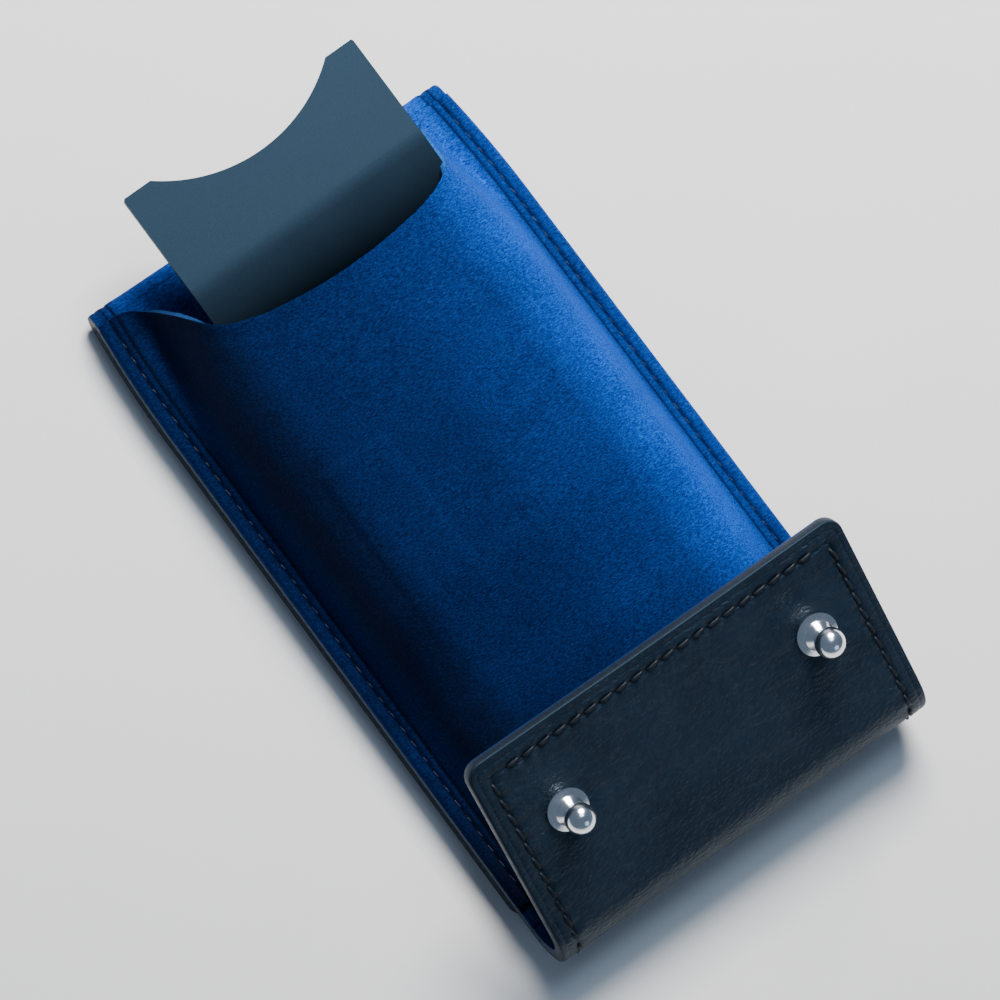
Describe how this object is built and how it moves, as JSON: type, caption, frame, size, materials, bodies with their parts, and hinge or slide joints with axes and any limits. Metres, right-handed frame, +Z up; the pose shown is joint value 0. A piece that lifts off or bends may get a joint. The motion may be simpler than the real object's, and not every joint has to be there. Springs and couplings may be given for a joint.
{
  "type": "spring bar tool pouch",
  "caption": "Stud-closed leather pouch holding a small two-ended watch strap tool and a sliding insert plate, with its cover folded open under it.",
  "frame": {"origin": "centre of the bounding box's bottom face, on the surface the pouch lies on", "axes": "+Y along the pouch from the stud flap to the open mouth, +X to the right, +Z up"},
  "size_m": [0.075, 0.1466, 0.0396],
  "materials": {
    "smooth_leather": "satin, fine pebble grain, dark navy",
    "suede": "napped suede, royal blue",
    "thread": "waxed black thread",
    "polished_metal": "mirror polished",
    "plate": "satin anthracite coating",
    "tool_handle": "dark anodised, ringed",
    "tool_collar": "turned",
    "tool_tip": "ground steel"
  },
  "bodies": {
    "pouch_body": {"back_leather": "smooth_leather", "back_lining": "suede", "pocket_front": "suede", "pocket_stitching": "thread", "tool_loop": "suede"},
    "top_fold": {"fold_leather": "smooth_leather", "fold_lining": "suede"},
    "spine": {"spine_leather": "smooth_leather", "spine_lining": "suede"},
    "cover": {"cover_leather": "smooth_leather", "cover_lining": "suede", "cover_stitching": "thread"},
    "stud_flap": {"turn_leather": "smooth_leather", "turn_lining": "suede", "flap_leather": "smooth_leather", "flap_lining": "suede", "flap_stitching": "thread", "ball_stud_left": "polished_metal", "ball_stud_right": "polished_metal", "stud_screw_left": "polished_metal", "stud_screw_right": "polished_metal"},
    "insert_plate": {"insert_plate": "plate"},
    "spring_bar_tool": {"tool_handle": "tool_handle", "fork_collar": "tool_collar", "pin_collar": "tool_collar", "fork_tip": "tool_tip", "pin_tip": "tool_tip"}
  },
  "joints": [
    {"name": "cover_fold", "type": "hinge", "parent": "pouch_body", "child": "top_fold", "pos_m": [0, 0.0615, 0.0042], "axis": [1, 0, 0], "range_deg": [0, 135], "deforming": ["fold_leather", "fold_lining"]},
    {"name": "cover_swing", "type": "hinge", "parent": "top_fold", "child": "spine", "pos_m": [0, 0.0615, 0.0018], "axis": [1, 0, 0], "range_deg": [0, 135]},
    {"name": "cover_crease", "type": "hinge", "parent": "spine", "child": "cover", "pos_m": [0, 0.0464, 0], "axis": [1, 0, 0], "range_deg": [0, 90]},
    {"name": "stud_flap_fold", "type": "hinge", "parent": "pouch_body", "child": "stud_flap", "pos_m": [0, -0.06136, 0.0031], "axis": [-1, 0, 0], "range_deg": [0, 38.9], "deforming": ["turn_leather", "turn_lining"]},
    {"name": "plate_slide", "type": "slide", "parent": "pouch_body", "child": "insert_plate", "axis": [0, -0.9914, -0.1305], "range_m": [0, 0.016]},
    {"name": "tool_slide", "type": "slide", "parent": "pouch_body", "child": "spring_bar_tool", "axis": [0, 1, 0], "range_m": [0, 0.046]}
  ],
  "couplings": [
    {"joint": "cover_fold", "follows": "cover_crease", "ratio": 1.5},
    {"joint": "cover_swing", "follows": "cover_crease", "ratio": 1.5},
    {"joint": "stud_flap_fold", "follows": "cover_crease", "ratio": 0.43222},
    {"joint": "plate_slide", "follows": "cover_crease", "m_per_rad": 0.010185}
  ]
}
